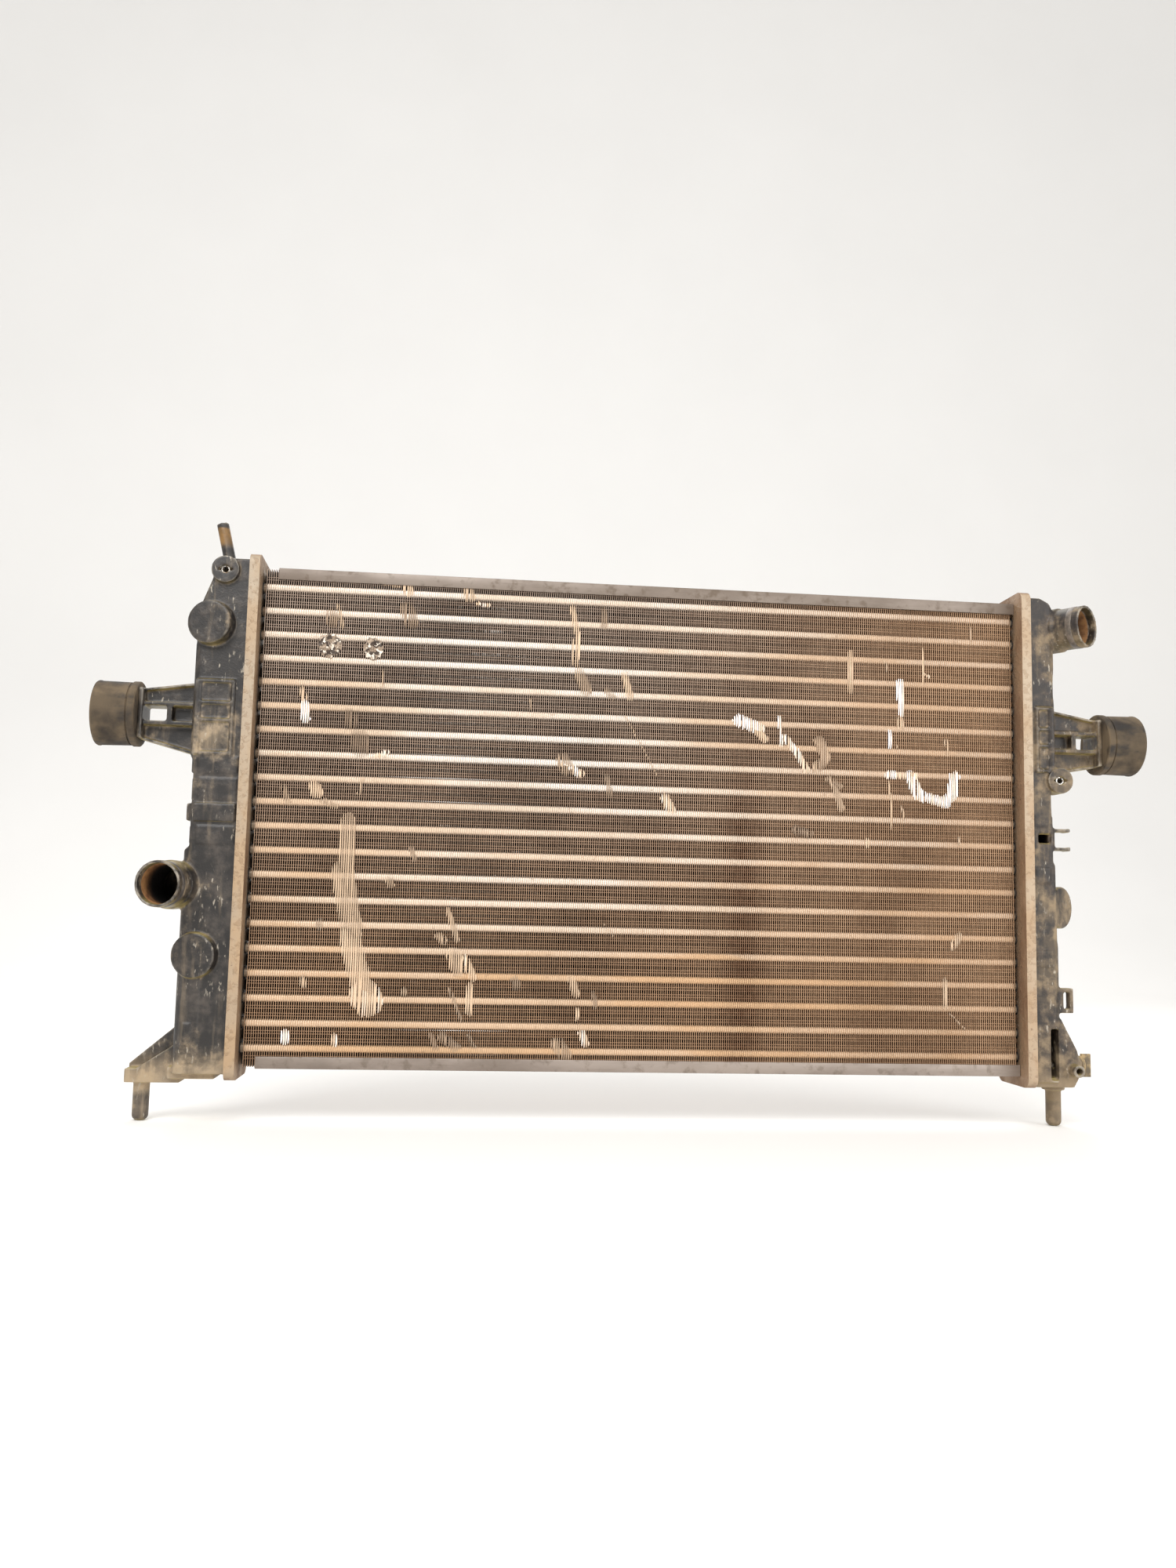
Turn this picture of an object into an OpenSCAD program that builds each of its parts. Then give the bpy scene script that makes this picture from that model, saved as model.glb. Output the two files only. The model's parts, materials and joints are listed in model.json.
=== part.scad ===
// Cross-flow car radiator: a plate-fin and round-tube aluminium core between
// two moulded plastic tanks that are crimped into aluminium header plates.
// X runs along the tubes, +Y is the engine side, +Z is up. The origin is the
// centre of the shoulder of the left locating peg, where it seats in the car.

/* [Core] */
// Width of the fin pack, between its first and last fins
core_w = 600; // [560:1:640]
// Depth of the fin pack, front to back
core_d = 26; // [24:1:30]
// Height of the fin pack
core_h = 380.2; // [379.8:0.1:381]
// Outer diameter of a tube
tube_d = 7.4; // [7:0.1:7.6]
// Wall of a tube
tube_wall = 0.5; // [0.4:0.1:0.8]
// Height from one tube to the next in a row
tube_pitch = 18.56; // [18.4:0.01:18.6]
// Tubes in the front row; the rear row has one more
front_tubes = 20; // [20:1:20]
// Distance between the two rows of tubes
row_gap = 13; // [12:0.5:13]
// Plates in the fin pack, each as thick as a dozen real fins
plates = 30; // [12:1:40]
// Thickness of one plate of the fin pack
plate_t = 1.2; // [0.8:0.1:1.4]

/* [Header plates and side plates] */
// Gap between the last fin and a header plate
header_gap = 3.5; // [3:0.5:5]
// Depth of a header plate, front to back
header_d = 56; // [54:1:60]
// Height of a header plate
header_h = 398; // [398:1:404]
// Sheet thickness of a header plate
header_t = 1.5; // [1.2:0.1:1.8]
// Width of the crimped band, from the core side to the tank side
header_w = 7.8; // [7.6:0.1:8.6]
// Sheet thickness of a side plate
side_t = 1.1; // [0.8:0.1:1.4]
// Height of a side plate's front and rear flanges
side_flange = 9; // [7:0.5:11]
// How far the side plates stop short of the left end of the core
side_short = 9; // [4:1:14]

/* [Tanks] */
// Depth of a tank, front to back
tank_d = 48; // [46:1:48]
// Height of a tank
tank_h = 389; // [388:0.5:389]
// Wall of a tank
tank_wall = 3; // [2.5:0.25:3.5]
// Reach of the left tank past its header plate
left_reach = 38.7; // [36:0.1:42]
// Reach of the right tank past its header plate
right_reach = 22.7; // [22:0.1:26]
// Radius of a tank's long outer edges
tank_r = 7; // [5:0.5:9]

/* [Ports] */
// Outer diameter of the hose necks
neck_d = 34.2; // [32:0.1:36]
// Bore of the hose necks
neck_bore = 30; // [26:0.5:30]
// Height of the lower neck above the core's middle
lower_neck_z = -56.3; // [-60:0.1:-50]
// Height of the upper neck above the core's middle
upper_neck_z = 170.5; // [165:0.1:172]
// Turn of the left ports away from straight ahead, in degrees
left_port_turn = 11; // [5:1:15]
// Turn of the right ports away from straight ahead, in degrees
right_port_turn = 36.5; // [32:0.5:40]
// Diameter of the vent nozzle
vent_d = 9.4; // [8:0.1:10]
// Lean of the vent nozzle, in degrees
vent_lean = 13.5; // [8:0.5:18]

/* [Fixings] */
// Diameter of the locating pegs
peg_d = 12; // [11:0.5:13]
// Length of the locating pegs
peg_len = 28.5; // [24:0.5:30]
// Diameter of the rubber mounts
rubber_d = 49.2; // [46:0.1:50]
// Height of the left arm above the core's middle
left_arm_z = 74.3; // [70:0.1:80]
// Height of the right arm above the core's middle
right_arm_z = 78.4; // [74:0.1:82]
// Diameter of the round eyes for the fan cowl clips
eye_d = 21; // [18:0.5:22]

/* [Drain] */
// Diameter of the drain screw's shank
drain_d = 9.8; // [8:0.1:10]
// Radial clearance of the drain screw in its bore
drain_clear = 0.1; // [0.05:0.01:0.2]

/* [Hidden] */
$fn = 64;
origin_x = 375;
origin_z = 202.5;

rear_tubes = front_tubes + 1;
function two_digits(n) = n < 10 ? str("0", n) : str(n);
front_names = [for (i = [1:front_tubes]) str("front_tube_", two_digits(i))];
rear_names = [for (i = [1:rear_tubes]) str("rear_tube_", two_digits(i))];

core_x = core_w / 2;
header_x = core_x + header_gap;
band_x = header_x + header_w;
gasket_t = 1.5;
lip_t = 1.4;
foot_x = header_x + header_t + gasket_t;
foot_t = header_w - header_t - gasket_t - lip_t - 0.1;
header_r = 8;
tube_end = foot_x + 2;
fin_clear = 0.06;
collar_clear = 0.05;
collar_t = 0.75;
hole_clear = 0.1;
side_y = core_d / 2 + 0.1;

neck_r = neck_d / 2;
peg_r = peg_d / 2;
eye_r = eye_d / 2;
clip_bore_r = 2.3;
clip_r = 3.2;
clip_len = 9;
stud_r = 10;

drain_y = -12;
drain_z = -182;
drain_face = 352;
drain_depth = 16;
seal_x = 339.5;
seal_wire = 0.82;
seal_r = 4.1;

// Height of tube i of n, from the top down, about the core's middle
function tube_z(i, n) = ((n - 1) / 2 - i) * tube_pitch;

// Every tube's place as [y, z]
tube_places = concat(
    [for (i = [0:front_tubes - 1]) [-row_gap / 2, tube_z(i, front_tubes)]],
    [for (i = [0:rear_tubes - 1]) [row_gap / 2, tube_z(i, rear_tubes)]]);

// From the core's middle to the part's origin
module in_car() {
    translate([origin_x, 0, origin_z]) children();
}

// A cylinder along +X
module along_x(d, len, x = 0) {
    translate([x, 0, 0]) rotate([0, 90, 0]) cylinder(d = d, h = len);
}

// A rectangle of y by z with round corners, for extruding along X
module round_rect(y, z, r) {
    square([y - 2 * r, z], center = true);
    square([y, z - 2 * r], center = true);
    for (sy = [-1, 1], sz = [-1, 1])
        translate([sy * (y / 2 - r), sz * (z / 2 - r)]) circle(r = r);
}

// Extrudes a y-z outline along +X from x for len
module extrude_x(x, len) {
    translate([x, 0, 0]) rotate([90, 0, 90]) linear_extrude(len) children();
}

// Extrudes an x-z outline along Y from y0 to y1
module extrude_y(y0, y1) {
    translate([0, y1, 0]) rotate([90, 0, 0]) linear_extrude(y1 - y0) children();
}

// A box between two corners
module block(a, b) {
    translate(a) cube(b - a);
}

// ---------------------------------------------------------------- core

module tube(y, z) {
    color("lightgray") in_car() translate([0, y, z]) difference() {
        along_x(tube_d, 2 * tube_end, -tube_end);
        along_x(tube_d - 2 * tube_wall, 2 * tube_end + 2, -tube_end - 1);
    }
}

module fin_pack() {
    step = (core_w - plate_t) / (plates - 1);
    color("gainsboro") in_car()
        for (i = [0:plates - 1])
            extrude_x(-core_x + i * step, plate_t) difference() {
                square([core_d, core_h], center = true);
                for (p = tube_places)
                    translate(p) circle(d = tube_d + 2 * fin_clear);
            }
}

// A folded channel over the top or bottom edge of the fins
module side_plate() {
    x0 = -core_x + side_short;
    x1 = header_x - 0.3;
    z0 = core_h / 2;
    block([x0, -side_y - side_t, z0], [x1, side_y + side_t, z0 + side_t]);
    for (s = [-1, 1])
        block([x0, min(s * side_y, s * (side_y + side_t)), z0 + side_t - side_flange],
              [x1, max(s * side_y, s * (side_y + side_t)), z0 + side_t]);
}

module top_side_plate() {
    color("darkgray") in_car() side_plate();
}

module bottom_side_plate() {
    color("darkgray") in_car() mirror([0, 0, 1]) side_plate();
}

// ---------------------------------------------------------------- headers

// A pan with a hole for each tube, its rim crimped over the tank's foot
module header_plate() {
    lip_y = tank_d + 0.8;
    lip_z = tank_h + 0.8;
    difference() {
        extrude_x(header_x, header_w) round_rect(header_d, header_h, header_r);
        extrude_x(header_x + header_t, header_w - header_t - lip_t)
            round_rect(header_d - 2 * header_t, header_h - 2 * header_t, header_r - header_t);
        extrude_x(band_x - lip_t - 1, lip_t + 2) square([lip_y, lip_z], center = true);
        for (p = tube_places)
            translate([0, p[0], p[1]])
                along_x(tube_d + 2 * (collar_clear + collar_t + hole_clear), header_t + 2, header_x - 1);
    }
}

// A rubber sheet with a collar round each tube
module gasket() {
    y = header_d - 2 * header_t - 0.4;
    z = header_h - 2 * header_t - 0.4;
    hole = tube_d + 2 * collar_clear;
    difference() {
        union() {
            extrude_x(header_x + header_t, gasket_t) round_rect(y, z, header_r - header_t);
            for (p = tube_places)
                translate([0, p[0], p[1]]) along_x(hole + 2 * collar_t, header_t + 0.8, header_x - 0.8);
        }
        for (p = tube_places)
            translate([0, p[0], p[1]]) along_x(hole, header_t + gasket_t + 2, header_x - 1.5);
    }
}

module left_header_plate() {
    color("tan") in_car() mirror([1, 0, 0]) header_plate();
}

module right_header_plate() {
    color("tan") in_car() header_plate();
}

module left_gasket() {
    color("dimgray") in_car() mirror([1, 0, 0]) gasket();
}

module right_gasket() {
    color("dimgray") in_car() gasket();
}

// ---------------------------------------------------------------- tanks

// The foot that the header plate's rim is crimped over
module tank_foot() {
    extrude_x(foot_x, foot_t)
        round_rect(header_d - 2 * header_t - 0.4, header_h - 2 * header_t - 0.4, header_r - header_t);
}

// A long body of the given reach, its two outer edges rounded
module tank_body(reach, depth, r, z) {
    x1 = band_x + reach;
    translate([0, 0, -z / 2]) linear_extrude(z) {
        translate([foot_x, -depth / 2]) square([x1 - r - foot_x, depth]);
        translate([foot_x, r - depth / 2]) square([x1 - foot_x, depth - 2 * r]);
        for (s = [-1, 1]) translate([x1 - r, s * (depth / 2 - r)]) circle(r = r);
    }
}

// Turns children so that +Z points ahead, out of the tank's front
module port(x, y, z, turn) {
    translate([x, y, z]) rotate([90, 0, turn]) children();
}

// Cuts a shallow groove of width w round a shaft of diameter d
module groove(d, deep, z, w = 1) {
    translate([0, 0, z]) difference() {
        cylinder(d = d + 2, h = w);
        translate([0, 0, -1]) cylinder(d = d - 2 * deep, h = w + 2);
    }
}

// Outside of a hose neck: a ball in the tank, a root collar and the hose's land
module neck_outside(len, collar_end) {
    difference() {
        union() {
            sphere(r = neck_r);
            cylinder(r = neck_r, h = len);
            translate([0, 0, collar_end - 12]) cylinder(r = neck_r + 1.2, h = 12);
        }
        groove(neck_d, 0.4, len - 5.5);
    }
}

module neck_inside(len) {
    sphere(d = neck_bore);
    cylinder(d = neck_bore, h = len + 1);
}

// Outside of a blanked port
module blank_port(len) {
    cylinder(r = neck_r - 0.3, h = len - 1);
    cylinder(r = neck_r - 1.2, h = len);
}

// A locating peg with a round tip, hanging from z = 0
module peg() {
    tip = 4;
    rotate_extrude() intersection() {
        union() {
            translate([0, tip - peg_len]) square([peg_r, peg_len - tip]);
            translate([0, -peg_len]) square([peg_r - tip, tip]);
            translate([peg_r - tip, tip - peg_len]) circle(r = tip);
        }
        translate([0, -peg_len]) square([peg_r, peg_len]);
    }
}

// The arm to a rubber mount: a web, two long ribs, a cross rib and the stud
module arm(root, tip, z, root_top, root_bottom) {
    half = 19.3;
    web = 2;
    deep = 10;
    rib_gap = 11.6;
    rib = 3.1;
    cross_x = tip - 25;
    rib_z = z + 0.2;
    difference() {
        union() {
            extrude_y(-web, web) polygon([
                [root - 6, z + root_top], [root, z + root_top], [tip, z + half],
                [tip, z - half], [root, z - root_bottom], [root - 6, z - root_bottom]]);
            for (s = [-1, 1])
                block([root - 6, -deep, rib_z + s * (rib_gap + rib) / 2 - rib / 2],
                      [tip, deep, rib_z + s * (rib_gap + rib) / 2 + rib / 2]);
            block([cross_x, -deep, rib_z - rib_gap / 2], [cross_x + 4, deep, rib_z + rib_gap / 2]);
            // Thin flanges along the arm's upper and lower edges
            extrude_y(-6, 6) polygon([
                [root - 4, z + root_top], [root, z + root_top], [tip, z + half],
                [tip, z + half - 2], [root, z + root_top - 2.2], [root - 4, z + root_top - 2.2]]);
            extrude_y(-6, 6) polygon([
                [root - 4, z - root_bottom], [root, z - root_bottom], [tip, z - half],
                [tip, z - half + 2], [root, z - root_bottom + 2.2], [root - 4, z - root_bottom + 2.2]]);
            block([tip - 3.5, -13, z - half], [tip, 13, z + half]);
        }
        block([cross_x + 4, -deep - 1, rib_z - rib_gap / 2], [tip - 3.5, deep + 1, rib_z + rib_gap / 2]);
    }
    translate([0, 0, z]) along_x(2 * stud_r, 27, tip);
}

// Raised frame on the tank's front face behind an arm, with three pockets
module arm_frame(x0, x1, z, z_low, z_high) {
    proud = 2;
    y0 = -tank_d / 2 - proud;
    y1 = -tank_d / 2 + 1;
    rim = 2.4;
    low_rib = z - 6;
    high_rib = z + 7.4;
    difference() {
        block([x0, y0, z_low], [x1, y1, z_high]);
        for (p = [[z_low + rim, low_rib - rim / 2], [low_rib + rim / 2, high_rib - rim / 2],
                  [high_rib + rim / 2, z_high - rim]])
            block([x0 + rim, y0 - 1, p[0]], [x1 - rim - 2, y1 - 1, p[1]]);
    }
}

// A band that wraps the tank's front, side and back
module wrap_band(x1, z0, z1, proud) {
    block([band_x + 2, -tank_d / 2 - proud, z0], [x1 - 6, tank_d / 2 + proud, z1]);
    block([band_x + 2, -tank_d / 2 + 3, z0], [x1, tank_d / 2 - 3, z1]);
}

// An eye for a cowl clip, its face towards the front
module eye_outside(depth) {
    cylinder(r = eye_r, h = depth);
}

module eye_inside(depth) {
    slot_w = 2.2;
    slot_len = 5.8;
    translate([0, 0, depth - 14]) cylinder(r = clip_r + 0.1, h = 15);
    translate([-slot_len, -slot_w / 2, depth - 4]) cube([2 * slot_len, slot_w, 5]);
}

eye_face = 28;
left_eye = [329.3, 184.8];
right_eye = [334.5, 44.3];
eye_depth = 18;

// Left tank, drawn with its reach along +X and then mirrored
module left_tank_shape() {
    x1 = band_x + left_reach;
    neck_x = x1 + 1.5;
    neck_len = 49.8;
    difference() {
        union() {
            tank_foot();
            intersection() {
                tank_body(left_reach, tank_d, tank_r, tank_h);
                extrude_y(-30, 30) polygon([
                    [foot_x, -194.5], [x1, -194.5], [x1, -30], [x1 - 4.5, -27], [x1 - 4.5, 36],
                    [x1 - 1, 42], [x1 - 1, 126], [x1 - 4.5, 160], [338.6, 179], [332, 184.8],
                    [332, 194.5], [foot_x, 194.5]]);
            }
            // Bands and steps between the arm and the lower neck
            wrap_band(x1 - 2.6, 28.5, 40, 1);
            wrap_band(x1 - 3.6, 8, 24, 0.7);
            wrap_band(x1 - 0.5, -8, 5.2, 1.6);
            wrap_band(x1 - 3.6, -25, -12, 0.7);
            arm_frame(band_x + 6.5, x1 - 3, left_arm_z, 42, 99.5);
            arm(x1, 391.5, left_arm_z, 25.4, 30.5);
            // Lower hose neck and the two blanked ports
            port(neck_x, -2, lower_neck_z, left_port_turn) neck_outside(neck_len, 28.5);
            port(334.6, -11, 142.5, left_port_turn) blank_port(21.8);
            port(334.6, -11, -108, left_port_turn) blank_port(18.2);
            // Raised strip and frame under the lower blanked port
            block([x1 - 17, -tank_d / 2 - 1, -186], [x1 - 2 * tank_r + 9, -tank_d / 2 + 2, -118]);
            block([x1 - 13, -tank_d / 2 - 2, -174], [x1 - 7, -tank_d / 2 + 2, -158]);
            // Eye for the cowl clip and the vent nozzle
            port(left_eye[0], eye_depth - eye_face, left_eye[1], 0) eye_outside(eye_depth);
            translate([329.6, 0, 192]) rotate([0, vent_lean, 0]) {
                difference() {
                    cylinder(d = vent_d, h = 37);
                    groove(vent_d, 0.4, 32.5);
                }
                translate([0, 0, -4]) cylinder(d = vent_d + 3, h = 8);
            }
            // Foot with its two gussets, and the locating peg
            block([x1 - 4, -10, -202.5], [386, 10, -192.5]);
            extrude_y(3.5, 8) polygon([
                [x1 - 5, -159], [x1, -159], [386, -190], [386, -194], [x1 - 5, -194]]);
            extrude_y(-10, -6) polygon([
                [x1 - 5, -172], [x1, -174], [376, -191], [380, -194], [x1 - 5, -194]]);
            block([x1 - 30, -16, -199], [x1 + 4, 16, -190]);
            translate([origin_x, 0, -origin_z]) peg();
        }
        // The water space
        intersection() {
            tank_body(left_reach - tank_wall, tank_d - 2 * tank_wall, tank_r - tank_wall, tank_h + 20);
            extrude_y(-30, 30) polygon([
                [foot_x - 1, -186], [x1 - tank_wall, -186], [x1 - tank_wall, -31],
                [x1 - 7.5, -28], [x1 - 7.5, 37], [x1 - 4, 43], [x1 - 4, 124], [x1 - 7.5, 154],
                [330, 168], [316, 176], [316, 191.5], [foot_x - 1, 191.5]]);
        }
        translate([foot_x - 1, -20, -191]) cube([8, 40, 20]);
        port(neck_x, -2, lower_neck_z, left_port_turn) neck_inside(neck_len);
        port(left_eye[0], eye_depth - eye_face, left_eye[1], 0) eye_inside(eye_depth);
        translate([329.6, 0, 192]) rotate([0, vent_lean, 0])
            translate([0, 0, -26]) cylinder(d = vent_d - 4.2, h = 70);
    }
}

module left_tank() {
    color("dimgray") in_car() mirror([1, 0, 0]) left_tank_shape();
}

module right_tank() {
    x1 = band_x + right_reach;
    neck_x = 329.7;
    neck_len = 44.5;
    color("dimgray") in_car() difference() {
        union() {
            tank_foot();
            intersection() {
                tank_body(right_reach, tank_d, tank_r, tank_h);
                extrude_y(-30, 30) polygon([
                    [foot_x, -194.5], [x1 + 3, -194.5], [x1 + 3, -100], [x1 - 2, -84], [x1 - 3, -24],
                    [x1 - 5, -21], [x1 - 5, 8], [x1 - 6, 24], [x1 - 6, 36], [x1, 46], [x1, 106],
                    [x1 - 2, 114], [x1 - 2, 126], [x1, 140], [x1, 184], [x1 - 6, 191],
                    [x1 - 13, 194.5], [foot_x, 194.5]]);
            }
            arm_frame(band_x + 4, x1 - 3, right_arm_z, 51, 104);
            arm(x1, 378, right_arm_z, 27.5, 27.5);
            wrap_band(x1 - 3.5, 7, 16, 0.6);
            wrap_band(x1 - 2.5, -38, -26, 1);
            wrap_band(x1 - 1, -104, -92, 1);
            // Upper hose neck and the blanked port, both turned outwards
            intersection() {
                port(neck_x, 2, upper_neck_z, right_port_turn) neck_outside(neck_len, 22.5);
                block([band_x + 0.6, -80, 140], [420, 80, 200]);
            }
            intersection() {
                port(neck_x, 2, -57.2, right_port_turn) blank_port(19);
                block([band_x + 0.6, -80, -90], [420, 80, 0]);
            }
            // Eye for the cowl clip, on a short lug
            port(right_eye[0], eye_depth - eye_face, right_eye[1], 0) eye_outside(eye_depth);
            block([322, -20, 40], [right_eye[0], -10, 52]);
            // Two prongs that hold a cable, and their root block
            block([x1 - 8, -23, -12], [x1 - 3, -8, 6]);
            for (z = [-11.6, 3.4]) {
                block([x1 - 8, -22, z], [344.5, -10, z + 2.4]);
                block([342.5, -22, z - 0.4], [344.5, -10, z + 2.8]);
            }
            // Square loop for a clip
            block([x1 - 4, -22, -140.5], [344.5, -14, -121]);
            // Leg with the peg pad
            extrude_y(-22, 16) polygon([
                [band_x + 1, -186], [322, -150], [x1, -145], [347, -170], [351, -186], [344, -198.5],
                [band_x + 1, -198.5]]);
            translate([336.7, 0, -origin_z]) {
                cylinder(r = 9, h = 10);
                peg();
            }
            // Drain housing and its spout
            translate([0, drain_y, drain_z]) along_x(17, drain_face - 330, 330);
            port(343.5, drain_y, -185, 0) cylinder(d = 9.6, h = 20);
        }
        intersection() {
            tank_body(right_reach - tank_wall, tank_d - 2 * tank_wall, tank_r - tank_wall, tank_h - 6);
            extrude_y(-30, 30) polygon([
                [foot_x - 1, -191.5], [x1, -191.5], [x1, -98], [x1 - 5, -84], [x1 - 6, -27],
                [x1 - 8, -24], [x1 - 8, 6], [x1 - 9, 21], [x1 - 9, 39], [x1 - 3, 49],
                [x1 - 3, 104], [x1 - 5, 113], [x1 - 5, 127], [x1 - 3, 141], [x1 - 3, 183],
                [x1 - 8, 188], [foot_x - 1, 191.5]]);
        }
        intersection() {
            port(neck_x, 2, upper_neck_z, right_port_turn) neck_inside(neck_len);
            block([band_x + 2.5, -80, 140], [420, 80, 200]);
        }
        port(right_eye[0], eye_depth - eye_face, right_eye[1], 0) eye_inside(eye_depth);
        // Pocket between the prongs, the open square loop and the leg's groove
        block([x1 - 17, -30, -6.5], [x1 - 6.5, -21.5, 1.5]);
        block([x1 + 2.5, -30, -137.5], [341.5, -10, -124]);
        block([324.5, -30, -193], [331.5, -18.5, -153]);
        // Bore for the drain screw, the way in from the tank and the way out
        translate([0, drain_y, drain_z]) {
            along_x(drain_d + 2 * drain_clear, drain_depth + 1, drain_face - drain_depth);
            along_x(6, 10, 327);
        }
        port(343.5, drain_y, -185, 0) cylinder(d = 4.8, h = 21);
    }
}

// ---------------------------------------------------------------- fixings

// A rubber cup over an arm's stud, its closed end outwards
module rubber_mount(x0, x1, z) {
    flange = 5.5;
    lip = 0.5;
    translate([0, 0, z]) difference() {
        union() {
            along_x(rubber_d, x1 - x0, x0);
            along_x(rubber_d + 2 * lip, 2, x1 - 2);
            along_x(rubber_d + 2 * lip, flange, x0);
        }
        along_x(2 * stud_r + 0.2, x1 - x0 - 4, x0 - 1);
        difference() {
            along_x(rubber_d + 2, 1, x0 + flange);
            along_x(rubber_d - 1.6, 1, x0 + flange);
        }
    }
}

module left_rubber_mount() {
    color("darkkhaki") in_car() mirror([1, 0, 0]) rubber_mount(391.6, 424, left_arm_z);
}

module right_rubber_mount() {
    color("darkkhaki") in_car() rubber_mount(378.1, 410.5, right_arm_z);
}

// A sprung metal sleeve in an eye
module cowl_clip(x, z) {
    translate([x, 2.5 - eye_face, z]) rotate([-90, 0, 0])
        difference() {
            cylinder(r = clip_r, h = clip_len);
            translate([0, 0, -1]) cylinder(r = clip_bore_r, h = clip_len + 2);
        }
}

module left_cowl_clip() {
    color("silver") in_car() cowl_clip(-left_eye[0], left_eye[1]);
}

module right_cowl_clip() {
    color("silver") in_car() cowl_clip(right_eye[0], right_eye[1]);
}

// ---------------------------------------------------------------- drain

module drain_screw() {
    groove_w = 2;
    tail = drain_face - drain_depth + 1;
    head_t = 2.6;
    color("black") in_car() translate([0, drain_y, drain_z]) {
        difference() {
            along_x(drain_d, drain_face + 0.2 - tail, tail);
            difference() {
                along_x(drain_d + 2, groove_w, seal_x - groove_w / 2);
                along_x(2 * (seal_r - seal_wire - 0.08), groove_w, seal_x - groove_w / 2);
            }
        }
        along_x(15, head_t, drain_face + 0.2);
        block([drain_face + head_t, -1.5, -9], [362, 1.5, 9]);
    }
}

module drain_seal() {
    color("black") in_car() translate([seal_x, drain_y, drain_z]) rotate([0, 90, 0])
        rotate_extrude() translate([seal_r, 0]) circle(r = seal_wire, $fn = 24);
}

for (i = [0:front_tubes - 1])
    tube(-row_gap / 2, tube_z(i, front_tubes));
for (i = [0:rear_tubes - 1])
    tube(row_gap / 2, tube_z(i, rear_tubes));
fin_pack();
top_side_plate();
bottom_side_plate();
left_header_plate();
right_header_plate();
left_gasket();
right_gasket();
left_tank();
right_tank();
left_rubber_mount();
right_rubber_mount();
left_cowl_clip();
right_cowl_clip();
drain_seal();
drain_screw();
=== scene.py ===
"""Car radiator: a finned aluminium core between two dark plastic tanks."""

import json
import math
import random

import bmesh
import bpy
import numpy
from mathutils import Euler, Matrix, Vector


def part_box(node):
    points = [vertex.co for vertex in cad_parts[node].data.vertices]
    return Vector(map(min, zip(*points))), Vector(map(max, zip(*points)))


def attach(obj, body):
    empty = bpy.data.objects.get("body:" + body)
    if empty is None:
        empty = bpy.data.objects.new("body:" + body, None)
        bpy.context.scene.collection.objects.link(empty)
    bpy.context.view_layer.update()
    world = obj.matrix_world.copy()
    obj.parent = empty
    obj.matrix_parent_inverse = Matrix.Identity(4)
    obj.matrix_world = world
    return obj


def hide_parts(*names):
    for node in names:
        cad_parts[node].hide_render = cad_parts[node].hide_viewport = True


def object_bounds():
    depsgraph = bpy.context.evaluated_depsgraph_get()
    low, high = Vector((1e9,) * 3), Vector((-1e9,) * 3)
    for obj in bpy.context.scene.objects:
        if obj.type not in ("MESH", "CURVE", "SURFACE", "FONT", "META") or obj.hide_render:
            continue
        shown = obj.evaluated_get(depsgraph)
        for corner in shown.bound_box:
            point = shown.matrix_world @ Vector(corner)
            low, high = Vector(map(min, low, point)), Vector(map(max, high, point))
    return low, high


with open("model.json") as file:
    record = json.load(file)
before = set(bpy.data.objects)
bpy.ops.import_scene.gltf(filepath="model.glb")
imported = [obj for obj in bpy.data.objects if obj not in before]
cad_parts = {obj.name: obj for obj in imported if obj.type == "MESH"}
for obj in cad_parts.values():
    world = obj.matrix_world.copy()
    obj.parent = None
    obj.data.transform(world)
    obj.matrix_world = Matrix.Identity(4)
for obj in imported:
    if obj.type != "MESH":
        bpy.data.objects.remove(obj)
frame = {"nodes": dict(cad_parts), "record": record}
cad_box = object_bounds()
nodes = frame["nodes"]

# ---------------------------------------------------------------- viewpoint
# The radiator is seen from the front, a little left of its middle and a
# little below it, with a short lens at arm's length.
eye = bpy.data.cameras.new("viewpoint")
eye.sensor_width = 36
eye.lens = 28.8
eye.clip_start = 0.05
camera = bpy.data.objects.new("viewpoint", eye)
camera.location = (0.23104, -0.98571, 0.12711)
camera.rotation_euler = Euler([math.radians(a) for a in (96.1791, -1.2786, -5.8886)])
bpy.context.scene.collection.objects.link(camera)
bpy.context.scene.camera = camera

# ---------------------------------------------------------------- tubes
# 41 round aluminium tubes in two staggered rows carry the coolant across.
# Each is drawn, pushed through the fins and expanded until it grips them.


class Wire:
    """A socket of a node tree, for sums on what changes over a surface."""

    def __init__(self, web, socket):
        self.web, self.socket = web, socket

    def _sum(self, operation, first, second):
        return self.web.add("ShaderNodeMath", {"operation": operation}, {0: first, 1: second})

    def __add__(self, other):
        return self._sum("ADD", self, other)

    def __radd__(self, other):
        return self._sum("ADD", other, self)

    def __sub__(self, other):
        return self._sum("SUBTRACT", self, other)

    def __rsub__(self, other):
        return self._sum("SUBTRACT", other, self)

    def __mul__(self, other):
        return self._sum("MULTIPLY", self, other)

    def __rmul__(self, other):
        return self._sum("MULTIPLY", other, self)

    def __abs__(self):
        return self._sum("ABSOLUTE", self, 0.0)

    def rise(self, low, high):
        """0 below low, 1 above high and smooth between them."""
        return self.web.add(
            "ShaderNodeMapRange",
            {"interpolation_type": "SMOOTHSTEP"},
            {"Value": self, "From Min": low, "From Max": high},
        )


class Web:
    """A node tree that is filled with one method."""

    def __init__(self, tree):
        self.tree = tree

    def add(self, kind, settings, sockets, output=0):
        node = self.tree.nodes.new(kind)
        for name, value in settings.items():
            setattr(node, name, value)
        for key, value in sockets.items():
            if isinstance(value, Wire):
                self.tree.links.new(value.socket, node.inputs[key])
            else:
                node.inputs[key].default_value = value
        return Wire(self, node.outputs[output])


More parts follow.
